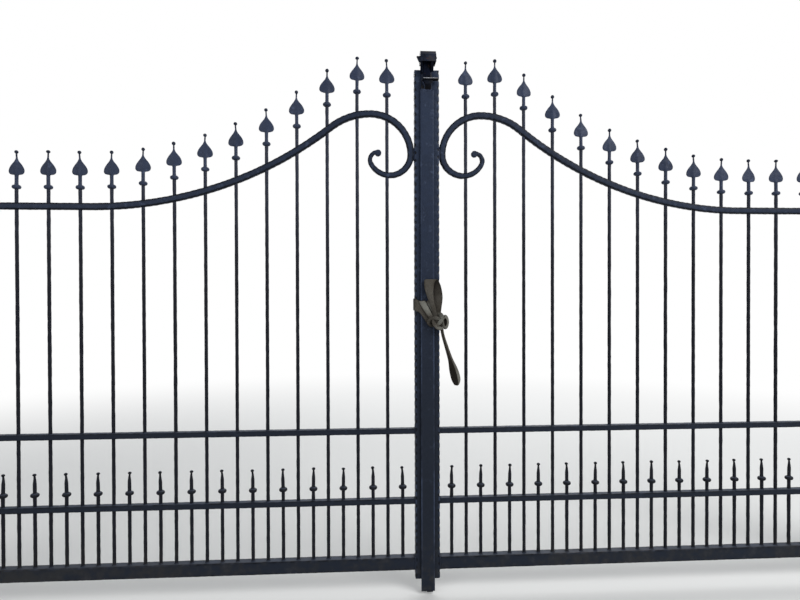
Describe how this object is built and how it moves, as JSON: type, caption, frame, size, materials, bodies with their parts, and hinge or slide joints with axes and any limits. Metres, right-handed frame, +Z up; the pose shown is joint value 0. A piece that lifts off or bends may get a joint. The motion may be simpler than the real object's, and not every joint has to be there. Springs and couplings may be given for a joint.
{
  "type": "wrought iron driveway gate",
  "caption": "Double-leaf swing gate of hammered round bars with spade finials, a swept scroll top rail, short dog bars below, a centre stop bar and two steel posts.",
  "frame": {"origin": "centre of the underside of the left post's base plate, on the ground", "axes": "+X along the gate from the left post to the right post as seen from the street, +Y towards the house, +Z up"},
  "size_m": [4.45, 0.22, 2.1769],
  "materials": {
    "painted_iron": "satin anthracite paint over hammered iron",
    "weathered_steel": "worn anthracite paint with bare patches",
    "webbing": "faded olive webbing"
  },
  "bodies": {
    "posts": {"left_post": "painted_iron", "left_base_plate": "painted_iron", "left_post_cap": "painted_iron", "left_hinge_brackets": "painted_iron", "left_hinge_pins": "painted_iron", "right_post": "painted_iron", "right_base_plate": "painted_iron", "right_post_cap": "painted_iron", "right_hinge_brackets": "painted_iron", "right_hinge_pins": "painted_iron"},
    "left_leaf": {"left_hinge_stile": "painted_iron", "left_meeting_stile": "painted_iron", "left_bottom_rail": "painted_iron", "left_dog_rail": "painted_iron", "left_mid_rail": "painted_iron", "left_scroll_rail": "painted_iron", "left_tall_bars": "painted_iron", "left_spade_finials": "painted_iron", "left_dog_bars": "painted_iron", "left_dog_finials": "painted_iron", "left_hinge_barrels": "painted_iron", "stop_bar": "painted_iron", "stop_foot": "painted_iron", "catch_plate": "weathered_steel", "catch_hood": "weathered_steel", "catch_shelf": "weathered_steel", "webbing_wrap": "webbing", "webbing_knot": "webbing", "webbing_loop": "webbing", "webbing_tail": "webbing"},
    "right_leaf": {"right_hinge_stile": "painted_iron", "right_meeting_stile": "painted_iron", "right_bottom_rail": "painted_iron", "right_dog_rail": "painted_iron", "right_mid_rail": "painted_iron", "right_scroll_rail": "painted_iron", "right_tall_bars": "painted_iron", "right_spade_finials": "painted_iron", "right_dog_bars": "painted_iron", "right_dog_finials": "painted_iron", "right_hinge_barrels": "painted_iron"}
  },
  "joints": [
    {"name": "right_leaf_hinge", "type": "hinge", "parent": "posts", "child": "right_leaf", "pos_m": [4.13, 0, 0.33], "axis": [0, 0, -1], "range_deg": [0, 100]},
    {"name": "left_leaf_hinge", "type": "hinge", "parent": "posts", "child": "left_leaf", "pos_m": [0.1, 0, 0.33], "axis": [0, 0, 1], "range_deg": [0, 95]}
  ],
  "couplings": [
    {"joint": "left_leaf_hinge", "follows": "right_leaf_hinge", "ratio": 0.95}
  ]
}
